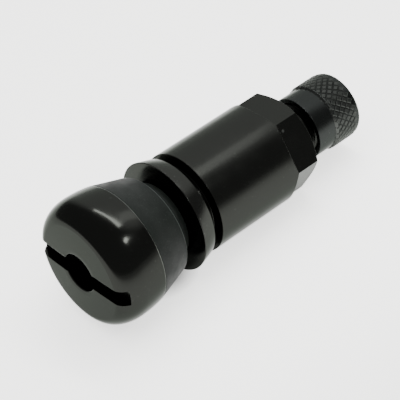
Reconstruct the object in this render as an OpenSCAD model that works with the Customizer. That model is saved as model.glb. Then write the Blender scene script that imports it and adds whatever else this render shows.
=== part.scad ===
// Clamp-in tyre valve with a slotted round head, a sleeve nut with a hexagon end and a knurled dust cap.
// Sizes are millimetres. The axis lies along +X from the head to the cap, and +Z is up.
// The origin is on the axis where the rubber shoulder bears on the wheel rim.

/* [Head] */
// widest radius of the head
head_r = 8.6; // [8.2:0.1:9.2]
// length of the head from the seam with the rubber to the middle of its face
head_h = 6.7; // [6:0.1:8]
// how far the side draws in from the widest place to the seam
head_draw = 0.25; // [0.1:0.05:0.6]
// how far the rounded front edge reaches in from the side
head_edge_r = 2.1; // [1.8:0.1:2.8]
// how far the rounded front edge reaches back from the face
head_edge_h = 3.6; // [2.4:0.1:4]
// how far the face's edge lies behind its middle
head_crown = 0.1; // [0.05:0.05:0.4]
// width of the screwdriver slot
slot_w = 2.25; // [1.6:0.05:2.8]
// depth of the slot below the face
slot_depth = 1.3; // [0.8:0.1:2]
// turn of the slot from the hexagon's corners, in degrees
slot_turn = 2.5; // [-10:0.5:10]
// radius of the air hole in the head
air_r = 2.6; // [2.1:0.05:2.7]
// depth of the air hole before it narrows
air_h = 9; // [6:0.5:12]

/* [Rim grommet] */
// length of the rubber cone between the head and the rim
grommet_h = 5; // [4:0.1:6]
// radius of the shoulder that bears on the rim
shoulder_r = 6.9; // [6.7:0.05:7.3]
// rounding of the shoulder's edge
shoulder_edge_r = 0.6; // [0.3:0.1:0.9]
// radius of the neck that fills the rim hole
neck_r = 5.55; // [5.3:0.05:5.75]
// length of the neck
neck_h = 1.8; // [1.2:0.1:2.2]
// radius of the neck's tip
neck_tip_r = 5.1; // [4.9:0.05:5.25]
// length of the neck's tapered lead-in
neck_lead_h = 0.85; // [0.4:0.05:1.1]

/* [Clamp washer] */
// space left between the rim seat and the washer
rim_gap = 2.2; // [2.2:0.1:6]
// thickness of the washer
washer_h = 2.2; // [1.2:0.1:3]
// radius of the washer's front edge
washer_front_r = 7.75; // [7.3:0.05:8.2]
// radius of the washer's back edge
washer_back_r = 7.05; // [6.6:0.05:7.2]
// break of the washer's edges
washer_edge = 0.15; // [0.05:0.05:0.3]

/* [Sleeve nut] */
// outside radius of the sleeve
nut_r = 7; // [6.95:0.05:7.4]
// length of the round sleeve
sleeve_h = 13.5; // [8:0.5:18]
// radius of the reduced nose that presses on the washer
nose_r = 5.4; // [5.2:0.1:6.2]
// length of the nose
nose_h = 1.4; // [0.8:0.1:2]
// width of the hexagon across its flats
hex_af = 12; // [11.4:0.1:12]
// length of the hexagon
hex_h = 4.1; // [3:0.1:6]
// length of the slope where a flat runs out into the sleeve
hex_slope_h = 0.7; // [0.5:0.05:1]
// radius of the flat end inside the turned chamfer
hex_end_r = 5.85; // [5.6:0.05:6]
// length of the turned chamfer
hex_chamfer_h = 0.75; // [0.5:0.05:1]
// break of the sleeve's front edge
nut_edge = 0.1; // [0.1:0.05:0.4]

/* [Stem] */
// radius at the root of the nut thread
shank_r = 4.04; // [3.9:0.02:4.14]
// depth of the nut thread
shank_thread = 0.4; // [0.3:0.02:0.44]
// radius at the root of the cap thread
tip_r = 3.39; // [3.35:0.01:3.42]
// depth of the cap thread
tip_thread = 0.36; // [0.3:0.01:0.38]
// room between the crests of a thread and the bore around it
thread_room = 0.06; // [0.04:0.01:0.08]
// bare length between the nut's end and the thinner tip
shank_out = 0.8; // [0.4:0.1:1.2]
// chamfer at the end of the stem
tip_chamfer = 0.35; // [0.2:0.05:0.5]

/* [Dust cap] */
// space between the nut's end and the cap
cap_gap = 2.4; // [2.4:0.1:4]
// length of the cap
cap_h = 7.6; // [7:0.1:9]
// radius of the plain collar
collar_r = 4.42; // [4.3:0.02:4.44]
// length of the plain collar
collar_h = 3; // [2.4:0.1:3.4]
// radius at the bottom of the knurl
knurl_root_r = 4.5; // [4.46:0.02:4.56]
// radius at the tips of the knurl
knurl_tip_r = 4.68; // [4.64:0.02:4.76]
// diamonds in one row around the cap
knurl_n = 30; // [24:2:34]
// rows of diamonds along the cap
knurl_rows = 6; // [4:1:6]
// width of the plain lip where the knurl starts
knurl_lip_w = 0.12; // [0.05:0.01:0.2]
// share of each diamond that is flat on top
knurl_land = 0.65; // [0.4:0.05:0.75]
// rounding of the cap's end edge
cap_edge_r = 0.6; // [0.4:0.05:0.7]
// thickness of the cap's end wall
cap_wall = 0.8; // [0.6:0.05:1]
// thickness of the seal in the cap
seal_h = 0.8; // [0.6:0.05:1]

/* [Valve core] */
// radius at the root of the plug thread
plug_r = 2.17; // [2.1:0.01:2.2]
// depth of the plug thread
plug_thread = 0.36; // [0.3:0.01:0.38]
// length of the threaded plug
plug_h = 3.6; // [3:0.1:4]
// length of the two-sided drive tongue on the plug
tongue_h = 2; // [1.6:0.1:2.2]
// width of the drive tongue across its flats
tongue_w = 2.6; // [2.4:0.05:2.9]
// radius of the hole through the plug
plug_bore_r = 0.95; // [0.9:0.01:1]
// how far the plug lies below the end of the stem
plug_drop = 1.1; // [1:0.05:1.3]
// outside radius of the barrel
barrel_r = 1.65; // [1.6:0.01:1.7]
// inside radius of the barrel
barrel_bore_r = 1.28; // [1.25:0.01:1.3]
// length of the barrel
barrel_h = 10.5; // [10:0.1:11]
// thickness of the barrel's top flange
flange_h = 0.5; // [0.4:0.05:0.6]
// thickness of the barrel's bottom wall
barrel_wall = 0.8; // [0.6:0.05:1]
// radius of the air passage in the barrel's bottom
vent_r = 0.85; // [0.8:0.01:0.9]
// radius of the bore below the core's seat
core_bore_r = 2; // [1.95:0.01:2.05]
// length of the core's conical seat
seat_h = 2; // [1.8:0.05:2.2]
// length of the core gasket
gasket_h = 1.5; // [1.2:0.05:1.6]
// radius of the pin
pin_r = 0.5; // [0.45:0.01:0.55]
// radius of the pin's button
button_r = 0.75; // [0.7:0.01:0.8]
// length of the pin's button
button_h = 0.8; // [0.6:0.05:1]
// how far the pin's button lies below the end of the stem
pin_drop = 0.45; // [0.3:0.05:0.6]
// radius of the collar that the spring lifts
pin_collar_r = 1.05; // [1:0.01:1.1]
// thickness of the collar
pin_collar_h = 0.5; // [0.4:0.05:0.6]
// radius of the spring's wire
wire_r = 0.12; // [0.1:0.01:0.13]
// mean radius of the spring
spring_r = 0.9; // [0.87:0.01:0.92]
// turns of the spring
spring_turns = 8; // [6:0.5:9]
// outside radius of the sealing cup
cup_r = 1.6; // [1.5:0.01:1.65]
// length of the sealing cup
cup_h = 1.9; // [1.7:0.05:2.2]
// radius of the seal in the cup
cup_seal_r = 1.35; // [1.3:0.01:1.38]
// thickness of the seal in the cup
cup_seal_h = 1; // [0.9:0.05:1.1]
// how far the seal stands out of the cup
cup_seal_out = 0.25; // [0.2:0.01:0.3]

/* [Hidden] */
$fn = 96;
face_z = -grommet_h - head_h;
head_back_r = head_r - head_draw;
seam_z = -grommet_h;
nut_bore_r = shank_r + shank_thread + thread_room;
cap_bore_r = tip_r + tip_thread + thread_room;
washer_z = rim_gap;
nut_z = washer_z + washer_h;
sleeve_z = nut_z + nose_h;
hex_z = sleeve_z + sleeve_h;
nut_end_z = hex_z + hex_h;
hex_corner_r = hex_af / sqrt(3);
slope_lap = 0.4 * hex_slope_h;
shank_end_z = nut_end_z + shank_out;
cap_z = nut_end_z + cap_gap;
cap_end_z = cap_z + cap_h;
seal_z = cap_end_z - cap_wall - seal_h;
stem_end_z = seal_z - 0.05;
knurl_z = cap_z + collar_h;
knurl_h = cap_end_z - cap_edge_r - knurl_z;
knurl_row_h = knurl_h / (knurl_rows + 1);
knurl_half_w = 0.97 * PI * knurl_root_r / knurl_n;
knurl_bed_r = knurl_root_r - 0.05;
plug_bore_in_stem_r = plug_r + plug_thread + thread_room;
plug_top_z = stem_end_z - plug_drop;
plug_z = plug_top_z - tongue_h - plug_h;
barrel_z = plug_z - barrel_h;
flange_r = plug_r;
seat_top_z = plug_z - flange_h - 0.25;
seat_z = seat_top_z - seat_h;
seat_slope = (plug_bore_in_stem_r - core_bore_r) / seat_h;
gasket_z = seat_z + 0.2;
pin_top_z = stem_end_z - pin_drop;
spring_z = barrel_z + barrel_wall;
pin_collar_z = plug_z - 1.2;
cup_seal_z = barrel_z - cup_seal_h;
cup_z = barrel_z - cup_seal_out - cup_h;
black = [0.13, 0.14, 0.14];
rubber = [0.26, 0.28, 0.28];
brass = [0.72, 0.58, 0.30];
steel = [0.66, 0.68, 0.70];

// points of an arc about c, from angle a0 to a1
function arc(c, r, a0, a1, n) = [for (i = [0:n]) c + r * [cos(a0 + (a1 - a0) * i / n), sin(a0 + (a1 - a0) * i / n)]];

// lays a piece drawn along local z onto the X axis
module lay() {
    rotate([0, 90, 0])
        children();
}

// turns a profile of radius and height about the axis
module turn() {
    rotate_extrude()
        children();
}

// a plain hole from z0 to z1
module hole(r, z0, z1) {
    translate([0, 0, z0])
        cylinder(r = r, h = z1 - z0);
}

// head of the stem: crowned face, oval front edge and a side that curves in to the seam
module head_profile() {
    edge_z = face_z + head_crown + head_edge_h;
    side_h = seam_z - edge_z;
    side_r = (side_h * side_h + head_draw * head_draw) / (2 * head_draw);
    flat_r = head_r - head_edge_r;
    crown_r = (flat_r * flat_r + head_crown * head_crown) / (2 * head_crown);
    crown_a = asin(flat_r / crown_r);
    polygon(concat(
        arc([0, face_z + crown_r], crown_r, -90, crown_a - 90, 5),
        [for (a = [-80:8:-8]) [flat_r + head_edge_r * cos(a), edge_z + head_edge_h * sin(a)]],
        arc([head_r - side_r, edge_z], side_r, 0, asin(side_h / side_r), 6),
        [[0, seam_z]]));
}

// shank, thinner threaded tip and the chamfer at its end
module shank_profile() {
    step = shank_r - tip_r;
    polygon([
        [0, seam_z - 1],
        [shank_r, seam_z - 1],
        [shank_r, shank_end_z],
        [tip_r, shank_end_z + step],
        [tip_r, stem_end_z - tip_chamfer],
        [tip_r - tip_chamfer, stem_end_z],
        [0, stem_end_z]]);
}

// air passage: wide hole in the head, core bore, conical seat and core thread
module passage_profile() {
    neck_in = air_r - core_bore_r;
    polygon([
        [0, face_z - 1],
        [air_r, face_z - 1],
        [air_r, face_z + air_h],
        [core_bore_r, face_z + air_h + neck_in],
        [core_bore_r, seat_z],
        [plug_bore_in_stem_r, seat_top_z],
        [plug_bore_in_stem_r, stem_end_z + 1],
        [0, stem_end_z + 1]]);
}

// one-piece stem with the slotted head
module valve_stem() {
    color(black)
    lay()
    difference() {
        union() {
            turn() head_profile();
            turn() shank_profile();
        }
        turn() passage_profile();
        rotate([0, 0, slot_turn])
        translate([-slot_w / 2, -head_r - 1, face_z - 1])
            cube([slot_w, 2 * head_r + 2, 1 + slot_depth]);
    }
}

// rubber cone with a shoulder on the rim and a neck in the rim hole
module rim_grommet() {
    color(rubber)
    lay()
    turn()
    polygon(concat(
        [[shank_r + 0.1, seam_z], [head_back_r, seam_z]],
        arc([shoulder_r - shoulder_edge_r, -shoulder_edge_r], shoulder_edge_r, 15, 90, 5),
        [[neck_r, 0],
        [neck_r, neck_h - neck_lead_h],
        [neck_tip_r, neck_h],
        [shank_r + 0.1, neck_h]]));
}

// washer with a rim that narrows away from the wheel
module clamp_washer() {
    slope = (washer_front_r - washer_back_r) / washer_h;
    color(black)
    lay()
    turn()
    polygon([
        [nut_bore_r, washer_z],
        [washer_front_r - washer_edge, washer_z],
        [washer_front_r - slope * washer_edge, washer_z + washer_edge],
        [washer_back_r + slope * washer_edge, nut_z - washer_edge],
        [washer_back_r - washer_edge, nut_z],
        [nut_bore_r, nut_z]]);
}

// nose, round sleeve and the cone that trims the hexagon's corners
module nut_envelope_profile() {
    polygon([
        [0, nut_z],
        [nose_r, nut_z],
        [nose_r, sleeve_z],
        [nut_r - nut_edge, sleeve_z],
        [nut_r, sleeve_z + nut_edge],
        [nut_r, nut_end_z - hex_chamfer_h],
        [hex_end_r, nut_end_z],
        [0, nut_end_z]]);
}

// hexagon prism, widened to the sleeve by one slope on each flat
module hexagon_and_slopes() {
    lap_r = slope_lap * (nut_r - hex_af / 2) / hex_slope_h;
    wide_r = (nut_r + lap_r) / cos(30);
    narrow_r = (hex_af / 2 - lap_r) / cos(30);
    translate([0, 0, hex_z - 0.5 * hex_slope_h])
        cylinder(r = hex_corner_r, h = hex_h + hex_slope_h, $fn = 6);
    translate([0, 0, hex_z - hex_slope_h - slope_lap])
        cylinder(r1 = wide_r, r2 = narrow_r, h = hex_slope_h + 2 * slope_lap, $fn = 6);
}

// long nut: a turned sleeve with a hexagon milled on its end
module sleeve_nut() {
    color(black)
    lay()
    difference() {
        intersection() {
            turn() nut_envelope_profile();
            union() {
                hole(nut_r + 1, nut_z - 1, hex_z - hex_slope_h - 0.5 * slope_lap);
                rotate([0, 0, 30])
                    hexagon_and_slopes();
            }
        }
        hole(nut_bore_r, nut_z - 1, nut_end_z + 1);
    }
}

// collar, lip where the knurl starts, knurl bed and rounded end of the cap
module cap_profile() {
    lip_r = 0.8 * knurl_tip_r + 0.2 * knurl_root_r;
    rise = lip_r - collar_r;
    fall = lip_r - knurl_root_r;
    polygon(concat(
        [[0, cap_z],
        [collar_r - 0.15, cap_z],
        [collar_r, cap_z + 0.15],
        [collar_r, knurl_z],
        [lip_r, knurl_z + rise],
        [lip_r, knurl_z + rise + knurl_lip_w],
        [knurl_root_r, knurl_z + rise + knurl_lip_w + fall]],
        arc([knurl_root_r - cap_edge_r, cap_end_z - cap_edge_r], cap_edge_r, 0, 90, 6),
        [[0, cap_end_z]]));
}

// one diamond of the knurl: a low, blunt pyramid whose foot lies under the bed
module knurl_diamond() {
    half_h = 0.97 * knurl_row_h;
    land_h = knurl_land * half_h;
    land_w = knurl_land * knurl_half_w;
    polyhedron(
        points = [
            [knurl_bed_r, 0, -half_h],
            [knurl_bed_r, knurl_half_w, 0],
            [knurl_bed_r, 0, half_h],
            [knurl_bed_r, -knurl_half_w, 0],
            [knurl_tip_r, 0, -land_h],
            [knurl_tip_r, land_w, 0],
            [knurl_tip_r, 0, land_h],
            [knurl_tip_r, -land_w, 0]],
        faces = [[0, 1, 2, 3], [7, 6, 5, 4], [1, 0, 4, 5], [2, 1, 5, 6], [3, 2, 6, 7], [0, 3, 7, 4]]);
}

// rows of diamonds, every second row shifted by half a diamond
module knurl() {
    for (row = [1:knurl_rows])
        for (i = [0:knurl_n - 1])
            rotate([0, 0, 360 / knurl_n * (i + (row % 2) / 2)])
            translate([0, 0, knurl_z + row * knurl_row_h])
                knurl_diamond();
}

// dust cap
module cap_shell() {
    color(black)
    lay()
    difference() {
        union() {
            turn() cap_profile();
            knurl();
        }
        hole(cap_bore_r, cap_z - 1, cap_end_z - cap_wall);
    }
}

// flat seal inside the end of the cap
module cap_seal() {
    color(rubber)
    lay()
    hole(cap_bore_r - 0.1, seal_z, cap_end_z - cap_wall);
}

// threaded plug with a flat drive tongue
module core_plug() {
    color(brass)
    lay()
    difference() {
        union() {
            hole(plug_r, plug_z, plug_z + plug_h);
            intersection() {
                hole(plug_r - 0.15, plug_z, plug_top_z);
                translate([-tongue_w / 2, -plug_r, plug_z])
                    cube([tongue_w, 2 * plug_r, plug_h + tongue_h]);
            }
        }
        hole(plug_bore_r, plug_z - 1, plug_top_z + 1);
    }
}

// tube that holds the spring and carries the sealing lip
module core_barrel() {
    color(brass)
    lay()
    difference() {
        union() {
            hole(barrel_r, barrel_z, plug_z);
            hole(flange_r, plug_z - flange_h, plug_z);
        }
        hole(barrel_bore_r, spring_z, plug_z + 1);
        hole(vent_r, barrel_z - 1, spring_z + 1);
    }
}

// cone ring that seals the core in its seat
module core_gasket() {
    low = core_bore_r + seat_slope * (gasket_z - seat_z);
    high = low + seat_slope * gasket_h;
    color(rubber)
    lay()
    turn()
    polygon([
        [barrel_r, gasket_z],
        [low, gasket_z],
        [high, gasket_z + gasket_h],
        [barrel_r, gasket_z + gasket_h]]);
}

// pin with its button, spring collar and riveted foot
module core_pin() {
    color(brass)
    lay()
    turn()
    polygon([
        [0, cup_z - 0.2],
        [pin_r, cup_z - 0.2],
        [pin_r, pin_collar_z],
        [pin_collar_r, pin_collar_z],
        [pin_collar_r, pin_collar_z + pin_collar_h],
        [pin_r, pin_collar_z + pin_collar_h],
        [pin_r, pin_top_z - button_h],
        [button_r, pin_top_z - button_h],
        [button_r, pin_top_z - 0.2],
        [button_r - 0.2, pin_top_z],
        [0, pin_top_z]]);
}

// coil spring with its ends ground flat
module core_spring() {
    spring_h = pin_collar_z - spring_z;
    turn_pitch = spring_h / spring_turns;
    color(steel)
    lay()
    translate([0, 0, spring_z])
    linear_extrude(height = spring_h, twist = -360 * spring_turns, slices = 16 * spring_turns, $fn = 10)
    polygon([for (i = [0:9])
        let (q = 36 * i, reach = 360 * wire_r * sin(q) / turn_pitch, rr = spring_r + wire_r * cos(q))
        rr * [cos(reach), sin(reach)]]);
}

// cup on the foot of the pin
module core_cup() {
    color(brass)
    lay()
    difference() {
        hole(cup_r, cup_z, cup_z + cup_h);
        hole(cup_seal_r, cup_seal_z, barrel_z);
        hole(pin_r, cup_z - 1, barrel_z);
    }
}

// ring seal that closes on the barrel's lip
module core_cup_seal() {
    color(rubber)
    lay()
    difference() {
        hole(cup_seal_r, cup_seal_z, barrel_z);
        hole(pin_r, cup_z - 1, barrel_z + 1);
    }
}

valve_stem();
rim_grommet();
clamp_washer();
sleeve_nut();
cap_shell();
cap_seal();
core_plug();
core_barrel();
core_gasket();
core_pin();
core_spring();
core_cup();
core_cup_seal();
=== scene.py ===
# %% [markdown]
# # A clamp-in tyre valve
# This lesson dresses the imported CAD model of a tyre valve: a black anodised stem with a slotted round
# head, a rubber cone that seals the wheel rim, a washer, a long sleeve nut with a hexagon end, and a
# knurled cap over the air core. The CAD model is the frame. Every piece below is built in metres, in the
# same place, and rides on a CAD body.

# %% Load the frame
from math import acos, asin, cos, degrees, pi, radians, sin, sqrt, tan
import bmesh
import bpy
from mathutils import Matrix, Vector


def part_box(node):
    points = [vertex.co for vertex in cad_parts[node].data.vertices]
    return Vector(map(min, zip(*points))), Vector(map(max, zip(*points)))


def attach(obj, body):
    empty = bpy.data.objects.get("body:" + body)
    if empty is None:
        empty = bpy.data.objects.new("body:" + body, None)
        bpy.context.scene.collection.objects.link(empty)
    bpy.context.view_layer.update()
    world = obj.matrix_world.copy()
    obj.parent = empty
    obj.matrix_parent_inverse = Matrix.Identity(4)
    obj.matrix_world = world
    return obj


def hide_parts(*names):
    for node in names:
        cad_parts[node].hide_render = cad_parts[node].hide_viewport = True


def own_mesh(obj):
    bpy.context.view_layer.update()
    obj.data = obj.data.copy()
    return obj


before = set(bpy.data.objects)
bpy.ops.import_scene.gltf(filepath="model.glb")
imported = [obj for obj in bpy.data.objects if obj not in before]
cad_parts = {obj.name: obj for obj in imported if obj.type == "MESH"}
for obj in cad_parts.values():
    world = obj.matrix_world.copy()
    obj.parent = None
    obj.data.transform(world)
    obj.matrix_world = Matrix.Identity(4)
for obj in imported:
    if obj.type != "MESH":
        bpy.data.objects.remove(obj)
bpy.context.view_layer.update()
MM = 0.001

# %% [markdown]
# The ends and the largest radius of each piece come from the frame, so the dressing follows a new pack.
# Sizes that a box can't give, such as the bores and the depth of the slot, are named where a piece first
# needs them. All lengths are in millimetres along the axis X and away from it, and the mesh helpers turn
# them to metres.

# %% Measure the CAD nodes
def span(node):
    """(first x, last x, largest radius) of a CAD node in millimetres."""
    low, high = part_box(node)
    return low[0] / MM, high[0] / MM, max(high[1], high[2]) / MM

face_x, stem_end_x, head_r = span("valve_stem")
seam_x, neck_end_x, head_back_r = span("rim_grommet")
washer_x, nut_x, washer_front_r = span("clamp_washer")
_, nut_end_x, nut_r = span("sleeve_nut")
cap_x, cap_end_x, knurl_tip_r = span("cap_shell")
_, cap_wall_x, _ = span("cap_seal")
plug_x, _, plug_r = span("core_plug")
print("head face %.2f, seam %.2f, washer %.2f, nut %.2f to %.2f, cap %.2f to %.2f mm"
      % (face_x, seam_x, washer_x, nut_x, nut_end_x, cap_x, cap_end_x))

# %% [markdown]
# Materials are node trees, and one small function adds a node with its settings and links, for shaders as
# well as for the geometry trees further down. A node that is given as an input stands for its first
# working output. Colours are written as sRGB hex values, as a colour picker shows them, and turned to
# linear light in one place. Textures use the piece's own coordinates, so they stay with it in every pose.

# %% Node helpers
FACTOR, FIRST, SECOND = 0, 6, 7  # the inputs of a Mix node in colour mode, where the names repeat

def linear(code):
    """Linear RGBA of an sRGB hex value such as '#1a2b3c'."""
    part = [int(code[i:i + 2], 16) / 255 for i in (1, 3, 5)]
    return tuple(c / 12.92 if c <= 0.04045 else ((c + 0.055) / 1.055) ** 2.4 for c in part) + (1,)

def feed(tree, node, inputs):
    """Sets a node's inputs, by name or number, to a value or to the node or socket that feeds them."""
    for key, value in inputs.items():
        if isinstance(value, bpy.types.Node):
            value = next(socket for socket in value.outputs if socket.enabled)
        if isinstance(value, bpy.types.NodeSocket):
            tree.links.new(value, node.inputs[key])
        else:
            node.inputs[key].default_value = value

def add(tree, kind, inputs=None, **settings):
    """Adds a node with its settings and feeds its inputs."""
    made = tree.nodes.new(kind)
    for key, value in settings.items():
        setattr(made, key, value)
    feed(tree, made, inputs or {})
    return made

def new_material(name, values):
    """A material with its Principled shader, constant values on it, and the piece's own coordinates."""
    material = bpy.data.materials.new(name)
    material.use_nodes = True
    tree = material.node_tree
    tree.nodes.clear()
    shader = add(tree, "ShaderNodeBsdfPrincipled", values)
    add(tree, "ShaderNodeOutputMaterial", {"Surface": shader})
    place = add(tree, "ShaderNodeTexCoord").outputs["Object"]
    return material, tree, shader, place

def clouds(tree, place, size_mm, detail=2.0, low=0.35, high=0.65, to_low=0.0, to_high=1.0):
    """A cloudy pattern of about size_mm, stretched from low..high to to_low..to_high."""
    grey = add(tree, "ShaderNodeTexNoise", {"Vector": place, "Scale": 1 / (size_mm * MM), "Detail": detail})
    return add(tree, "ShaderNodeMapRange", {"Value": grey, "From Min": low, "From Max": high,
                                            "To Min": to_low, "To Max": to_high})

def within(tree, place, where, reach_mm):
    """1 within reach_mm of a point, or of a plane across the axis where only its x is given; else 0."""
    is_point = isinstance(where, tuple)
    here = Vector(where if is_point else (where, 0, 0)) * MM
    counted = (1, 1, 1) if is_point else (1, 0, 0)
    spot = add(tree, "ShaderNodeVectorMath", {0: place, 1: counted}, operation="MULTIPLY")
    away = add(tree, "ShaderNodeVectorMath", {0: spot, 1: here}, operation="DISTANCE")
    return add(tree, "ShaderNodeMath", {0: away, 1: reach_mm * MM}, operation="LESS_THAN")

# %% [markdown]
# ** Turned metal.** The head, washer, nut and cap are aluminium, turned and then anodised black. The dyed
# oxide swallows almost everything except a sheen of a few per cent, so white surroundings read as dark
# grey and dark ones as black: a metal with a very dark colour. The tool left rings round the axis, a bump
# that depends on x alone, and handling leaves a cloud in the sheen and a few grey specks. Where an edge
# has rubbed or taken a knock, the dye is thin and bare metal shows. That paler colour also paints
# highlights: the light on the head's rubbed back edge, the glint of the nick by the hexagon, and, with no
# wear under it, the light on the cap's lip. Real rings lie less than a tenth of a millimetre apart, too
# fine for this picture, so they are drawn a few times coarser. The same tree, with other numbers, makes
# the brass of the core.

# %% Turned metal
speck_mm, speck_rim, sheen_mm = 0.25, 0.06, 3.0

def turned_metal(name, colour, speck, roughness, ring_mm, ring_depth_mm, speck_from=0.72,
                 edge_tint="#ffffff", wear_and_highlight=None):
    """Rings and specks, and a place of wear and painted highlight (x or point, reach, colour); sizes in mm.
    """
    material, tree, shader, place = new_material(name, {"Metallic": 1.0, "Specular Tint": linear(edge_tint)})
    x = add(tree, "ShaderNodeSeparateXYZ", {"Vector": place}).outputs["X"]
    rings = add(tree, "ShaderNodeTexNoise", {"W": x, "Scale": 1 / (ring_mm * MM), "Detail": 2.0},
                noise_dimensions="1D")
    bump = add(tree, "ShaderNodeBump", {"Height": rings, "Distance": ring_depth_mm * MM})
    specks = clouds(tree, place, speck_mm, detail=1.0, low=speck_from, high=speck_from + speck_rim)
    colours = add(tree, "ShaderNodeMix", {FACTOR: specks, FIRST: linear(colour), SECOND: linear(speck)},
                  data_type="RGBA")
    # the paler place is a painted highlight; on the head's edge and the nick it lies over real wear
    if wear_and_highlight:
        where, reach_mm, pale_colour = wear_and_highlight
        wear_and_highlight_mask = within(tree, place, where, reach_mm)
        colours = add(tree, "ShaderNodeMix", {FACTOR: wear_and_highlight_mask, FIRST: colours, SECOND: linear(pale_colour)},
                      data_type="RGBA")
    sheen = clouds(tree, place, sheen_mm, detail=3.0, low=0.3, high=0.7, to_low=roughness * 0.85,
                   to_high=roughness * 1.2)
    feed(tree, shader, {"Base Color": colours, "Roughness": sheen, "Normal": bump})
    print("made", name)
    return material

# %% [markdown]
# The black finishes differ mostly in their sheen. The head is the smoothest, nut and washer blur what
# they mirror a little more, the collar of the cap more again, and the rolled knurl is the dullest. At a
# flat angle the oxide stays a little darker than bare metal would, which the edge tint gives.

# %% Black and brass finishes
oxide_edge = "#c8cac8"
# a nick by a corner of the hexagon, its glint painted as a pale spot
nick_glint_at = (19.85, -4.02, 5.02)
# the cap's lip, where a paler colour paints a highlight
lip_highlight_at = cap_x + 3.15
# clear reflections with cloudy edges; the thin grey line on the rubbed back edge is a painted highlight
head_black = turned_metal("black_anodised_fine_turned", "#242523", "#343634", roughness=0.15, ring_mm=0.5,
                          ring_depth_mm=0.0005, edge_tint=oxide_edge, wear_and_highlight=(seam_x, 0.07, "#5e615d"))
# soft light and dark bands along the sleeve, and a nick by a hexagon corner with its glint painted pale
nut_black = turned_metal("black_anodised_turned", "#262725", "#363835", roughness=0.2, ring_mm=0.3,
                         ring_depth_mm=0.0008, edge_tint=oxide_edge, wear_and_highlight=(nick_glint_at, 0.2, "#5c5f5b"))
# a soft highlight on the tapered rim, slightly greyer than the nut
washer_black = turned_metal("black_anodised_faced", "#2b2c2a", "#4c4e4b", roughness=0.2, ring_mm=0.25,
                            ring_depth_mm=0.0008, edge_tint=oxide_edge)
# a duller sheen on the collar, and a painted highlight on the lip where the knurl begins
cap_black = turned_metal("black_anodised_cap", "#282a29", "#4c4e4b", roughness=0.24, ring_mm=0.3,
                         ring_depth_mm=0.0008, edge_tint=oxide_edge, wear_and_highlight=(lip_highlight_at, 0.17, "#3a3c3a"))
# the dullest black, so that the diamonds show by the slope of their sides
knurl_black = turned_metal("black_anodised_rolled_knurl", "#353735", "#555754", roughness=0.38, ring_mm=0.2,
                           ring_depth_mm=0.001, edge_tint=oxide_edge)
# a warm yellow metal with brown specks, deep in the air hole
core_brass = turned_metal("turned_brass", "#c9a457", "#8d6f36", roughness=0.28, ring_mm=0.2,
                          ring_depth_mm=0.0006, speck_from=0.66)

# %% [markdown]
# **Drawn spring steel.** Wire pulled through a die is bright and streaked along its length. The wire runs
# almost round the axis, so a pattern that changes slowly round X and quickly along it looks like the
# die's marks.

# %% Drawn spring steel
spring_steel, tree, shader, place = new_material("drawn_spring_steel", {"Metallic": 1.0})
quick_along_x = (8.0, 1.0, 1.0)
stretched = add(tree, "ShaderNodeVectorMath", {0: place, 1: quick_along_x}, operation="MULTIPLY")
streaks = clouds(tree, stretched, 0.3, low=0.3, high=0.7, to_low=0.18, to_high=0.34)
patches = clouds(tree, place, 0.6)
tone = add(tree, "ShaderNodeMix", {FACTOR: patches, FIRST: linear("#8e9093"), SECOND: linear("#b0b2b4")},
           data_type="RGBA")
feed(tree, shader, {"Base Color": tone, "Roughness": streaks})
print("made", spring_steel.name)

# %% [markdown]
# ** Moulded rubber.** The grommet is pressed in a blasted mould, which leaves a fine even grain, and the
# rubber blooms: a thin grey haze of wax lies on the black, with pale dust caught in the grain. The haze
# is a slow change of colour, the dust a sparse fine one, and the grain a bump, drawn coarser than a
# blasted mould leaves it so that it shows. A thin paler line on the shoulder's edge is the flash where
# the mould closed, and also a painted highlight of that edge. Rubber is no metal, so its colour is
# diffuse and its sheen broad and weak.

# %% Moulded rubber
flash_and_highlight_mm, grain_depth_mm = 0.07, 0.012

def moulded_rubber(name, dark, bloom, dust, grain_mm, flash_and_highlight_x=None):
    """Haze between two colours, dust, a grain, and a paler line of mould flash and painted highlight at
    flash_and_highlight_x.
    """
    material, tree, shader, place = new_material(name, {"IOR": 1.52, "Specular IOR Level": 0.06})
    haze = clouds(tree, place, 2.5, detail=4.0, low=0.3, high=0.7)
    colours = add(tree, "ShaderNodeMix", {FACTOR: haze, FIRST: linear(dark), SECOND: linear(bloom)},
                  data_type="RGBA")
    specks = clouds(tree, place, 0.12, low=0.62, high=0.74, to_high=0.5)
    colours = add(tree, "ShaderNodeMix", {FACTOR: specks, FIRST: colours, SECOND: linear(dust)},
                  data_type="RGBA")
    # the line on the shoulder's edge: mould flash and a painted highlight of that edge
    if flash_and_highlight_x is not None:
        flash_and_highlight = within(tree, place, flash_and_highlight_x, flash_and_highlight_mm)
        colours = add(tree, "ShaderNodeMix", {FACTOR: flash_and_highlight, FIRST: colours, SECOND: linear("#3e4441")},
                      data_type="RGBA")
    grain = add(tree, "ShaderNodeTexNoise", {"Vector": place, "Scale": 1 / (grain_mm * MM), "Detail": 2.0})
    bump = add(tree, "ShaderNodeBump", {"Height": grain, "Distance": grain_depth_mm * MM, "Strength": 0.6})
    sheen = clouds(tree, place, 1.5, low=0.3, high=0.7, to_low=0.44, to_high=0.56)
    feed(tree, shader, {"Base Color": colours, "Roughness": sheen, "Normal": bump})
    print("made", name)
    return material

# a soft grey black with pale specks, and one pale line of mould flash and painted highlight
rubber = moulded_rubber("moulded_grommet_rubber", "#131614", "#191c1a", "#3a3f3c", grain_mm=0.14,
                        flash_and_highlight_x=-0.11)
# a plain grey black, a little paler than the grommet
seal_rubber = moulded_rubber("moulded_seal_rubber", "#191b1a", "#242625", "#4a4c4a", grain_mm=0.14)

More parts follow.
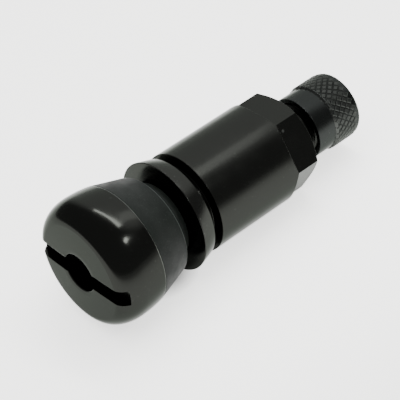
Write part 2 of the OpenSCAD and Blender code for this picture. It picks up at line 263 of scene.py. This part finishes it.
# %% [markdown]
# Almost every piece of a valve is turned on a lathe, so one helper does the same and sweeps a closed
# profile about X. A screw modifier on a curve would do too, but a mesh made ring by ring keeps clean
# quads for the later cuts. No turned corner is perfectly sharp: a profile corner can carry a small
# fillet, and that tiny round edge is what catches the light in a close view.

# %% Lathe helpers
same_point_m, on_axis_mm = 1e-8, 1e-6

def arc(centre, radius, start, end, steps):
    """Points on an arc in the (x, r) plane; angles in degrees from +x towards +r."""
    turn = [radians(start + (end - start) * i / steps) for i in range(steps + 1)]
    return [(centre[0] + radius * cos(a), centre[1] + radius * sin(a)) for a in turn]

def eased(corners, steps=4):
    """A closed profile from (x, r) or (x, r, fillet) corners, each fillet drawn as an arc."""
    points = []
    for i, corner in enumerate(corners):
        here = Vector(corner[:2])
        if len(corner) < 3:
            points.append(tuple(here))
            continue
        back = (Vector(corners[i - 1][:2]) - here).normalized()
        ahead = (Vector(corners[(i + 1) % len(corners)][:2]) - here).normalized()
        half = acos(max(-1, min(1, back.dot(ahead)))) / 2
        centre = here + (back + ahead).normalized() * (corner[2] / sin(half))
        first, last = (here + way * (corner[2] / tan(half)) - centre for way in (back, ahead))
        swing = first.angle(last)
        for part in (k / steps for k in range(steps + 1)):
            spoke = (first * sin((1 - part) * swing) + last * sin(part * swing)) / sin(swing)
            points.append(tuple(centre + spoke))
    return points

def shade(mesh, sharp):
    """Smooth shading, with a hard edge wherever faces meet at more than sharp degrees."""
    mesh.shade_smooth()
    mesh.set_sharp_from_angle(angle=radians(sharp))

def finished(name, bm, material=None):
    """Turns a bmesh into an object with merged doubles and outward faces."""
    bmesh.ops.remove_doubles(bm, verts=bm.verts, dist=same_point_m)
    bmesh.ops.recalc_face_normals(bm, faces=bm.faces)
    mesh = bpy.data.meshes.new(name)
    bm.to_mesh(mesh)
    bm.free()
    if material:
        mesh.materials.append(material)
    shade(mesh, sharp=32)
    piece = bpy.data.objects.new(name, mesh)
    bpy.context.scene.collection.objects.link(piece)
    return piece

def turned(name, profile, material, steps=160):
    """A solid turned about X from a closed profile of (x, r) points in millimetres."""
    bm = bmesh.new()
    rings = []
    for x, r in profile:
        count = steps if r > on_axis_mm else 1
        turn = [2 * pi * k / steps for k in range(count)]
        rings.append([bm.verts.new((x * MM, r * MM * cos(a), r * MM * sin(a))) for a in turn])
    for near, far in zip(rings, rings[1:] + rings[:1]):
        for k in range(steps):
            n = k + 1
            quad = [near[k % len(near)], near[n % len(near)], far[n % len(far)], far[k % len(far)]]
            face = list(dict.fromkeys(quad))
            if len(face) > 2:
                bm.faces.new(face)
    return finished(name, bm, material)

# %% [markdown]
# **The stem** is one turned piece: a mushroom head, a shank that carries the nut's thread, and a thinner
# tip for the cap and the air core. Its profile runs from the mouth of the air hole over the crowned face
# and the round edge, along the outside, and back through the passage that air takes past the core.

# %% Stem
air_r, air_h, core_bore_r, shank_r, tip_r = 2.6, 9, 2.0, 4.04, 3.39
head_edge_r, head_edge_h, head_crown, mouth_r = 2.1, 3.6, 0.1, 0.18
tip_chamfer, bore_chamfer, seat_h = 0.35, 0.1, 2
shank_end_x, seat_x = nut_end_x + 0.8, plug_x - 0.75
thread_bore_r = plug_r + 0.42
flat_r = head_r - head_edge_r
crown_r = (flat_r ** 2 + head_crown ** 2) / (2 * head_crown)
edge_x = face_x + head_crown + head_edge_h
side_h, side_drop = seam_x - edge_x, head_r - head_back_r
side_r = (side_h ** 2 + side_drop ** 2) / (2 * side_drop)
face_steps, face_w = 6, flat_r - air_r - mouth_r
face_radii = [air_r + mouth_r + face_w * i / face_steps for i in range(face_steps + 1)]
crown = [(face_x + crown_r - sqrt(crown_r ** 2 - r ** 2), r) for r in face_radii]
edge_turns = [radians(87 - 3 * i) for i in range(30)]  # every three degrees, from the face to the side
edge = [(edge_x - head_edge_h * sin(a), flat_r + head_edge_r * cos(a)) for a in edge_turns]
side = arc((edge_x, head_r - side_r), side_r, 90, 90 - degrees(asin(side_h / side_r)), 12)
mouth = arc((crown[0][0] + mouth_r, air_r + mouth_r), mouth_r, 270, 180, 5)
outside = [
    side[-2], (seam_x, head_back_r, 0.05), (seam_x, shank_r), (shank_end_x, shank_r, 0.06),
    (shank_end_x + shank_r - tip_r, tip_r), (stem_end_x - tip_chamfer, tip_r, 0.08),
    (stem_end_x, tip_r - tip_chamfer, 0.08)]
inside = [
    (stem_end_x, thread_bore_r + bore_chamfer), (stem_end_x - bore_chamfer, thread_bore_r),
    (seat_x, thread_bore_r), (seat_x - seat_h, core_bore_r),
    (face_x + air_h + air_r - core_bore_r, core_bore_r), (face_x + air_h, air_r)]
stem_profile = mouth[:-1] + crown + edge[:-1] + side[:-2] + eased(outside + inside, 3)
stem = turned("stem_with_slotted_head", stem_profile, head_black, steps=192)
print("stem profile of %d points" % len(stem_profile))

# %% [markdown]
# **The slot** lets a screwdriver hold the head while the nut is tightened from outside the wheel. It is
# milled after turning, so it is cut here with a box, and its edges get the tiny break that a deburring
# tool leaves. It runs almost along Y, turned by the small angle that the photo shows. The finished stem
# is then handed over: it takes the place of its CAD node and rides on that node's body.

# %% Milling and hand-over helpers
def block(name, outline, to_place):
    """A cutter: a closed outline at two depths, each point turned to millimetres by to_place(u, v, end)."""
    bm = bmesh.new()
    near, far = ([bm.verts.new(Vector(to_place(u, v, end)) * MM) for u, v in outline] for end in (-1, 1))
    bm.faces.new(near)
    bm.faces.new(far)
    for k in range(len(outline)):
        n = (k + 1) % len(outline)
        bm.faces.new((near[k], near[n], far[n], far[k]))
    return finished(name, bm)

def milled(piece, tools, edge_mm):
    """Cuts the tools out of a piece, breaks the new edges by a bevel, and keeps the plain mesh."""
    for tool in tools:
        cut = piece.modifiers.new("cut", "BOOLEAN")
        cut.object, cut.operation, cut.solver = tool, "DIFFERENCE", "EXACT"
    broken = piece.modifiers.new("broken_edges", "BEVEL")
    broken.width, broken.segments, broken.limit_method = edge_mm * MM, 2, "ANGLE"
    broken.angle_limit = radians(28)  # flatter edges belong to the turned curves
    even = piece.modifiers.new("even_shading", "WEIGHTED_NORMAL")
    even.keep_sharp = True
    done = bpy.data.meshes.new_from_object(piece.evaluated_get(bpy.context.evaluated_depsgraph_get()))
    piece.modifiers.clear()
    piece.data = done
    for tool in tools:
        bpy.data.objects.remove(tool)

def placed(piece, node, body):
    """Hands a finished piece over: it replaces its CAD node and rides on a body."""
    if node:
        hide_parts(node)
    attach(piece, body)
    print("%s: %d faces on %s" % (piece.name, len(piece.data.polygons), body))

# %% Screwdriver slot
slot_w, slot_depth, slot_turn, slot_reach = 2.25, 1.3, radians(2.5), 10
half_slot, above_x, floor_x = slot_w / 2, face_x - 1, face_x + slot_depth
slot_outline = [(above_x, -half_slot), (floor_x, -half_slot), (floor_x, half_slot), (above_x, half_slot)]
slot_tool = block("slot_tool", slot_outline, lambda x, v, end: (
    x, end * slot_reach * cos(slot_turn) - v * sin(slot_turn),
    end * slot_reach * sin(slot_turn) + v * cos(slot_turn)))
milled(stem, [slot_tool], edge_mm=0.06)
placed(stem, "valve_stem", "valve")

# %% [markdown]
# **The grommet** seals the rim hole. The cone meets the head along a fine seam, its flat shoulder presses
# on the inside of the rim, and the short neck with its lead-in centres the stem in the hole. It is
# moulded, so every edge is rounded by the mould, and a small groove is left where rubber and metal meet.

# %% Rubber grommet
shoulder_r, neck_r, neck_tip_r = 6.9, 5.55, 5.1
shoulder_break, lead_in_h, grommet_bore_r = 0.18, 0.85, shank_r + 0.1
grommet = turned("rubber_grommet", eased([
    (seam_x, grommet_bore_r), (seam_x, head_back_r, 0.1), (-shoulder_break, shoulder_r, 0.12),
    (0, shoulder_r - shoulder_break, 0.1), (0, neck_r, 0.12), (neck_end_x - lead_in_h, neck_r, 0.2),
    (neck_end_x, neck_tip_r, 0.1), (neck_end_x, grommet_bore_r)], 5), rubber)
placed(grommet, "rim_grommet", "valve")

# %% [markdown]
# **The washer** spreads the nut's force on the outside of the rim. Its rim narrows away from the wheel,
# and both edges have a small turned break that shows as a thin bright line.

# %% Clamp washer
washer_back_r, nut_bore_r = 7.05, 4.5
washer = turned("clamp_washer_rim", eased([
    (washer_x, nut_bore_r, 0.1), (washer_x, washer_front_r, 0.1), (nut_x, washer_back_r, 0.06),
    (nut_x, nut_bore_r, 0.1)]), washer_black)
placed(washer, "clamp_washer", "washer")

# %% [markdown]
# **The sleeve nut** is turned from round bar and six flats are milled on its end for a spanner. A round
# cutter leaves a slope where each flat runs out into the sleeve, so the tool here is a wedge with a
# sloped front. The cone on the end trims the corners of the hexagon into the curved lines that every
# machined nut shows.

# %% Sleeve nut
nose_r, nose_x, hex_end_r, end_cone_h = 5.4, nut_x + 1.4, 5.85, 0.75
nut = turned("sleeve_nut_body", eased([
    (nut_x, nut_bore_r, 0.15), (nut_x, nose_r, 0.1), (nose_x, nose_r, 0.1), (nose_x, nut_r, 0.07),
    (nut_end_x - end_cone_h, nut_r), (nut_end_x, hex_end_r, 0.08), (nut_end_x, nut_bore_r, 0.2)]),
    nut_black, steps=192)
across_flats, hex_h, hex_slope_h = 12.0, 4.1, 0.7
flat_at, hex_x = across_flats / 2, nut_end_x - hex_h
tool_r, tool_x, tool_reach = 9.0, nut_end_x + 1, 6
slope_back = hex_slope_h * (tool_r - flat_at) / (nut_r - flat_at)
wedge = [(hex_x, flat_at), (tool_x, flat_at), (tool_x, tool_r), (hex_x - slope_back, tool_r)]
flat_tools = []
for a in (radians(60 * k + 30) for k in range(6)):
    flat_tools.append(block("flat_tool", wedge, lambda x, r, end, a=a: (
        x, r * cos(a) - end * tool_reach * sin(a), r * sin(a) + end * tool_reach * cos(a))))
milled(nut, flat_tools, edge_mm=0.05)
placed(nut, "sleeve_nut", "nut")

# %% [markdown]
# **The cap** is a short tube closed at one end, with a plain collar and a slightly raised band for the
# knurl. The band starts with a small turned lip whose slope catches the light. The bed under the diamonds
# lies halfway up, which keeps the grooves as faint as a rolled knurl shows them. Only the body is turned
# here, and the knurl is grown on it next.

# %% Cap body
collar_r, collar_h, knurl_root_r, cap_bore_r, cap_edge_r = 4.42, 3.0, 4.5, 3.81, 0.6
lip_w, lip_fall = 0.12, 0.04
knurl_x = cap_x + collar_h
lip_r = 0.8 * knurl_tip_r + 0.2 * knurl_root_r
bed_r = 0.5 * knurl_tip_r + 0.5 * knurl_root_r
lip_x = knurl_x + lip_r - collar_r
cap = turned("cap_shell_body", eased([
    (cap_x, cap_bore_r, 0.08), (cap_x, collar_r, 0.12), (knurl_x, collar_r), (lip_x, lip_r, 0.13),
    (lip_x + lip_w, lip_r, 0.13), (lip_x + lip_w + lip_fall, bed_r),
    (cap_end_x, bed_r, cap_edge_r), (cap_end_x, 0), (cap_wall_x, 0), (cap_wall_x, cap_bore_r)], 8),
    cap_black)
placed(cap, "cap_shell", "cap")

# %% [markdown]
# Two things on the valve repeat: the diamonds of the knurl and the turns of threads and spring. Both are
# grown by Geometry Nodes, so a new pitch or count is one number. The helper runs a tree once on an empty
# mesh and keeps the plain result, so nothing live is left on the piece.

# %% Geometry tree helpers
def new_tree(name, **inputs):
    """A geometry tree with named inputs; each keyword gives an input's socket type."""
    tree = bpy.data.node_groups.new(name, "GeometryNodeTree")
    tree.interface.new_socket("Geometry", in_out="OUTPUT", socket_type="NodeSocketGeometry")
    for label, kind in inputs.items():
        tree.interface.new_socket(label, in_out="INPUT", socket_type="NodeSocket" + kind)
    return tree, add(tree, "NodeGroupInput").outputs

def close_tree(tree, geometry, material):
    """Ends a tree: instances become real mesh and take the material."""
    real = add(tree, "GeometryNodeRealizeInstances", {"Geometry": geometry})
    painted = add(tree, "GeometryNodeSetMaterial", {"Geometry": real, "Material": material})
    add(tree, "NodeGroupOutput", {0: painted})

def grown(name, tree, **values):
    """Runs a tree on an empty mesh and returns an object with the plain mesh that came out."""
    piece = bpy.data.objects.new(name, bpy.data.meshes.new(name))
    bpy.context.scene.collection.objects.link(piece)
    grow = piece.modifiers.new("grow", "NODES")
    grow.node_group = tree
    for item in tree.interface.items_tree:
        if item.in_out == "INPUT":
            grow[item.identifier] = values[item.name]
    done = bpy.data.meshes.new_from_object(piece.evaluated_get(bpy.context.evaluated_depsgraph_get()))
    piece.modifiers.clear()
    piece.data = done
    return piece

# %% [markdown]
# **The diamond knurl** is rolled: two wheels with slanted teeth press crossing grooves into the band, and
# blunt pyramids stay between them. The tree makes one blunt pyramid, four-sided like a cone with four
# corners, and sets it on rows round the axis, every second row shifted by half a step so that the
# diamonds interlock.

# %% Knurl tree
tree, given = new_tree("diamond_knurl", Start="Float", RowPitch="Float", Rows="Int", Around="Int",
                       Radius="Float", HalfWidth="Float", Height="Float", Finish="Material")
blunt_top = 0.62
pyramid = add(tree, "GeometryNodeMeshCone", {"Vertices": 4, "Radius Top": blunt_top, "Radius Bottom": 1.0,
                                             "Depth": given["Height"]})
foot = add(tree, "ShaderNodeCombineXYZ", {"X": given["RowPitch"], "Y": given["HalfWidth"], "Z": 1.0})
diamond = add(tree, "GeometryNodeTransform", {"Geometry": pyramid, "Scale": foot})
count = add(tree, "ShaderNodeMath", {0: given["Rows"], 1: given["Around"]}, operation="MULTIPLY")
points = add(tree, "GeometryNodeMeshLine", {"Count": count})
index = add(tree, "GeometryNodeInputIndex")
turns = add(tree, "ShaderNodeMath", {0: index, 1: given["Around"]}, operation="DIVIDE")
row = add(tree, "ShaderNodeMath", {0: turns}, operation="FLOOR")
odd = add(tree, "ShaderNodeMath", {0: row, 1: 2.0}, operation="MODULO")
shifted = add(tree, "ShaderNodeMath", {0: odd, 1: 0.5, 2: index}, operation="MULTIPLY_ADD")
step = add(tree, "ShaderNodeMath", {0: 2 * pi, 1: given["Around"]}, operation="DIVIDE")
angle = add(tree, "ShaderNodeMath", {0: shifted, 1: step}, operation="MULTIPLY")
along = add(tree, "ShaderNodeMath", {0: row, 1: given["RowPitch"], 2: given["Start"]},
            operation="MULTIPLY_ADD")
on_top = add(tree, "ShaderNodeCombineXYZ", {"X": along, "Z": given["Radius"]})
spot = add(tree, "ShaderNodeVectorRotate", {"Vector": on_top, "Angle": angle}, rotation_type="X_AXIS")
rows = add(tree, "GeometryNodeSetPosition", {"Geometry": points, "Position": spot})
euler = add(tree, "ShaderNodeCombineXYZ", {"X": angle})
lean = add(tree, "FunctionNodeEulerToRotation", {0: euler})
teeth = add(tree, "GeometryNodeInstanceOnPoints", {"Points": rows, "Instance": diamond, "Rotation": lean})
close_tree(tree, teeth, given["Finish"])
knurl_tree = tree
print("%s: %d nodes" % (knurl_tree.name, len(knurl_tree.nodes)))

# %% Knurl on the cap
knurl_around, knurl_rows, foot_sunk = 30, 6, 0.03
knurl_end_x = cap_end_x - cap_edge_r
row_pitch = (knurl_end_x - knurl_x) / (knurl_rows + 1)
foot_r = bed_r - foot_sunk
knurl = grown("cap_diamond_knurl", knurl_tree, Start=(knurl_x + row_pitch) * MM, RowPitch=row_pitch * MM,
              Rows=knurl_rows, Around=knurl_around, Radius=foot_r * MM,
              HalfWidth=pi * foot_r / knurl_around * MM, Height=(knurl_tip_r - foot_r) * MM,
              Finish=knurl_black)
placed(knurl, None, "cap")

# %% [markdown]
# **The threads** are single helical ridges: a fine one on the shank for the nut, one on the tip for the
# cap, and one on the plug of the core. On the real parts a die or a tool cuts the groove; here the ridge
# is added to the plain core, half sunk in it, because only the crests show between the pieces. A spiral
# carries a square section set on its corner, which gives the sharp flanks, and the turn about Y lays it
# on the axis.

# %% Helix tree
tree, given = new_tree("helix", Start="Float", Length="Float", Pitch="Float", Radius="Float", Depth="Float",
                       Sides="Int", Finish="Material")
turns = add(tree, "ShaderNodeMath", {0: given["Length"], 1: given["Pitch"]}, operation="DIVIDE")
spiral = add(tree, "GeometryNodeCurveSpiral", {
    "Resolution": 48, "Rotations": turns, "Start Radius": given["Radius"], "End Radius": given["Radius"],
    "Height": given["Length"]})
upright = add(tree, "GeometryNodeSetCurveNormal", {"Curve": spiral}, mode="Z_UP")
section = add(tree, "GeometryNodeCurvePrimitiveCircle", {"Resolution": given["Sides"],
                                                         "Radius": given["Depth"]})
ridge = add(tree, "GeometryNodeCurveToMesh", {"Curve": upright, "Profile Curve": section, "Fill Caps": True})
begin = add(tree, "ShaderNodeCombineXYZ", {"X": given["Start"]})
laid = add(tree, "GeometryNodeTransform", {"Geometry": ridge, "Translation": begin,
                                           "Rotation": (0, pi / 2, 0)})
close_tree(tree, laid, given["Finish"])
helix_tree = tree
print("%s: %d nodes" % (helix_tree.name, len(helix_tree.nodes)))

# %% Threads
def coiled(name, low_x, high_x, pitch, radius, depth, finish, sides=4):
    """A helix between two places on the axis; depth is how far its section reaches out from the radius."""
    ridge = grown(name, helix_tree, Start=(low_x + depth) * MM, Length=(high_x - low_x - 2 * depth) * MM,
                  Pitch=pitch * MM, Radius=radius * MM, Depth=depth * MM, Sides=sides, Finish=finish)
    shade(ridge.data, sharp=40)
    return ridge

nut_pitch, cap_pitch, core_pitch = 0.75, 0.79375, 0.7055
nut_ridge, cap_ridge, core_ridge = 0.38, 0.34, 0.32
shank_thread = coiled("shank_thread", neck_end_x + 0.02, shank_end_x, nut_pitch, shank_r, nut_ridge,
                      nut_black)
tip_thread = coiled("tip_thread", shank_end_x + 0.7, stem_end_x - 0.2, cap_pitch, tip_r, cap_ridge,
                    nut_black)
core_thread = coiled("core_thread", plug_x + 0.1, plug_x + 3.5, core_pitch, plug_r, core_ridge, core_brass)
placed(shank_thread, None, "valve")
placed(tip_thread, None, "valve")
placed(core_thread, None, "valve")

# %% [markdown]
# ** The core's spring** is the same helix with a round section. It holds the pin shut, and a pressed pin
# makes it shorter; here it stays as wound, with a mesh of its own.

# %% Core spring
spring_x, spring_end_x, spring_out_r = span("core_spring")
wire_r, spring_turns, pin_travel = 0.12, 8, 1.5
spring_h = spring_end_x - spring_x
spring_pitch = (spring_h - 2 * wire_r) / spring_turns
spring = coiled("core_coil_spring", spring_x, spring_end_x, spring_pitch, spring_out_r - wire_r, wire_r,
                spring_steel, sides=10)
placed(spring, "core_spring", "valve")
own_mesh(spring)

# %% [markdown]
# **The air core and the cap's seal** are small and nearly hidden, and their CAD shapes are already true:
# a brass plug, barrel, pin and cup, and rubber seals. They keep the CAD mesh and take a finish.

# %% Finishes for the core
for finish, nodes in ((core_brass, ("core_plug", "core_barrel", "core_pin", "core_cup")),
                      (seal_rubber, ("cap_seal", "core_gasket", "core_cup_seal"))):
    for node in nodes:
        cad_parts[node].data.materials.clear()
        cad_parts[node].data.materials.append(finish)
    print(finish.name, "on", ", ".join(nodes))

# %% [markdown]
# ** The setting** is a white sheet of opal acrylic, lit from below as on a product photographer's light
# table. It keeps the shadows thin and puts white under the valve, which the lower flats of the hexagon
# mirror. The glow fades towards the front of the sheet, and its colour darkens there too as painted
# shade, so the black band along the nut stays black. A painted shadow darkens the sheet under the gap
# between grommet and washer, so that the gap stays dark. The valve lies on the rim of the head and on
# the washer, so its axis tips by a few degrees; here the axis stays on X and the sheet tips.

# %% Light table
fade_from, fade_to, glow_back, glow_front = -15 * MM, -110 * MM, 1.9, 0.3
painted_shadow_at, painted_shadow_full, painted_shadow_end, painted_shadow_white_share = (8 * MM, 0, 0), 2 * MM, 5 * MM, 0.1
sheet, tree, shader, place = new_material("lit_opal_acrylic", {"Roughness": 0.55})
front = add(tree, "ShaderNodeSeparateXYZ", {"Vector": place}).outputs["Y"]
fade = add(tree, "ShaderNodeMapRange", {"Value": front, "From Min": fade_from, "From Max": fade_to},
           interpolation_type="SMOOTHSTEP")
glow = add(tree, "ShaderNodeMapRange", {"Value": fade, "To Min": glow_back, "To Max": glow_front})
# the sheet's colour darkens towards the front with the glow: painted shade
sheet_colour_and_painted_shade = add(tree, "ShaderNodeMix", {FACTOR: fade, FIRST: linear("#f4f4f2"), SECOND: linear("#b8b8b6")},
            data_type="RGBA")
# a painted shadow on the sheet under the gap between grommet and washer
away = add(tree, "ShaderNodeVectorMath", {0: place, 1: painted_shadow_at}, operation="DISTANCE")
outside_painted_shadow = add(tree, "ShaderNodeMapRange", {"Value": away, "From Min": painted_shadow_full, "From Max": painted_shadow_end,
                                            "To Min": painted_shadow_white_share})
sheet_colour_and_painted_shade = add(tree, "ShaderNodeMix", {FACTOR: outside_painted_shadow, FIRST: linear("#202020"), SECOND: sheet_colour_and_painted_shade},
            data_type="RGBA")
feed(tree, shader, {"Base Color": sheet_colour_and_painted_shade, "Emission Color": sheet_colour_and_painted_shade, "Emission Strength": glow})
bpy.ops.mesh.primitive_plane_add(size=4)
floor = bpy.context.object
floor.name = "light_table"
floor.data.materials.append(sheet)
rest_x, sheet_tilt = -7.5, 3.35
floor.matrix_world = (Matrix.Translation((rest_x * MM, 0, -head_r * MM))
                      @ Matrix.Rotation(-radians(sheet_tilt), 4, "Y"))
print("%s tips by %.2f degrees" % (floor.name, sheet_tilt))

# %% [markdown]
# **The room.** Polished black metal is drawn only by what it mirrors, so the room matters more than the
# lamps. It is dim, with one bright window behind the valve on the right, which has a soft edge to the
# left and one below. The dim part draws the black bands along the nut, round the head and across the
# washer's rim, the bright part the grey ones.

# %% Room
room_dim, room_bright = 0.42, 2.0
right_way, back_way = (0.95, 0.3, 0.3), (0.1, 0.6, 0.8)
world = bpy.data.worlds.new("dim_room_with_bright_side")
bpy.context.scene.world = world
world.use_nodes = True
tree = world.node_tree
tree.nodes.clear()
facing = add(tree, "ShaderNodeTexCoord").outputs["Generated"]
to_right = add(tree, "ShaderNodeVectorMath", {0: facing, 1: right_way}, operation="DOT_PRODUCT")
to_back = add(tree, "ShaderNodeVectorMath", {0: facing, 1: back_way}, operation="DOT_PRODUCT")
side_edge = add(tree, "ShaderNodeMapRange", {"Value": to_right, "From Min": 0.54, "From Max": 0.68})
low_edge = add(tree, "ShaderNodeMapRange", {"Value": to_back, "From Min": 0.2, "From Max": 0.42})
window = add(tree, "ShaderNodeMath", {0: side_edge, 1: low_edge}, operation="MULTIPLY")
light = add(tree, "ShaderNodeMapRange", {"Value": window, "To Min": room_dim, "To Max": room_bright})
room = add(tree, "ShaderNodeBackground", {"Color": linear("#ffffff"), "Strength": light})
add(tree, "ShaderNodeOutputWorld", {"Surface": room})
print("%s: radiance %.2f to %.2f" % (world.name, room_dim, room_bright))

# %% [markdown]
# **The lamps.** A wide soft lamp lights sheet and rubber and is kept out of the mirror image. Three small
# lamps stand close by, so that each is mirrored only where it is wanted: a panel for the light patch on
# the head and the band along the nut, a strip for the streak on the head, and a spot beside it.

# %% Lamps
def softbox(name, at_mm, direction, distance, width, height, radiance, in_mirror=True):
    """A rectangular lamp, sizes in metres, that faces a place on the valve; its face has the radiance."""
    lamp = bpy.data.lights.new(name, "AREA")
    lamp.shape, lamp.size, lamp.size_y = "RECTANGLE", width, height
    lamp.energy = radiance * pi * width * height
    holder = bpy.data.objects.new(name, lamp)
    bpy.context.scene.collection.objects.link(holder)
    way = Vector(direction).normalized()
    holder.location = Vector(at_mm) * MM + way * distance
    holder.rotation_euler = way.to_track_quat("Z", "Y").to_euler()
    holder.visible_glossy = in_mirror
    print("%s: %.4f W" % (name, lamp.energy))

softbox("wide_overhead", (8, 0, 0), (-0.15, -0.1, 1.0), distance=0.8, width=1.0, height=1.0, radiance=3.5,
        in_mirror=False)
softbox("soft_panel", (-6, -4, 7), (0.66, -0.1, 0.74), distance=0.06, width=0.016, height=0.022,
        radiance=2.2)
softbox("strip_lamp", (-8, -3, 8), (0.4, 0.1, 0.9), distance=0.15, width=0.13, height=0.011, radiance=22.0)
softbox("small_lamp", (-8, -6, 6), (0.37, -0.63, 0.68), distance=0.12, width=0.022, height=0.013,
        radiance=26.0)

# %% [markdown]
# **The camera** stands where the photo was taken: 38 degrees up, turned 38 degrees from the side, rolled
# by almost eight, and near enough that the head looks larger than the cap.

# %% Photo camera
aim, distance = Vector((7.39, -1.16, 0.10)) * MM, 0.220
sideways, height, roll = -38.3, 38.1, -7.64
turn = (Matrix.Rotation(radians(sideways), 4, "Z") @ Matrix.Rotation(radians(90 - height), 4, "X")
        @ Matrix.Rotation(radians(roll), 4, "Z"))
lens = bpy.data.cameras.new("photo_camera")
lens.lens, lens.sensor_width, lens.clip_start = 157.5, 36, 0.01
camera = bpy.data.objects.new("photo_camera", lens)
bpy.context.scene.collection.objects.link(camera)
camera.matrix_world = Matrix.Translation(aim) @ turn @ Matrix.Translation((0, 0, distance))
bpy.context.scene.camera = camera
print("camera %.0f mm from its aim, %.1f mm lens" % (distance / MM, lens.lens))
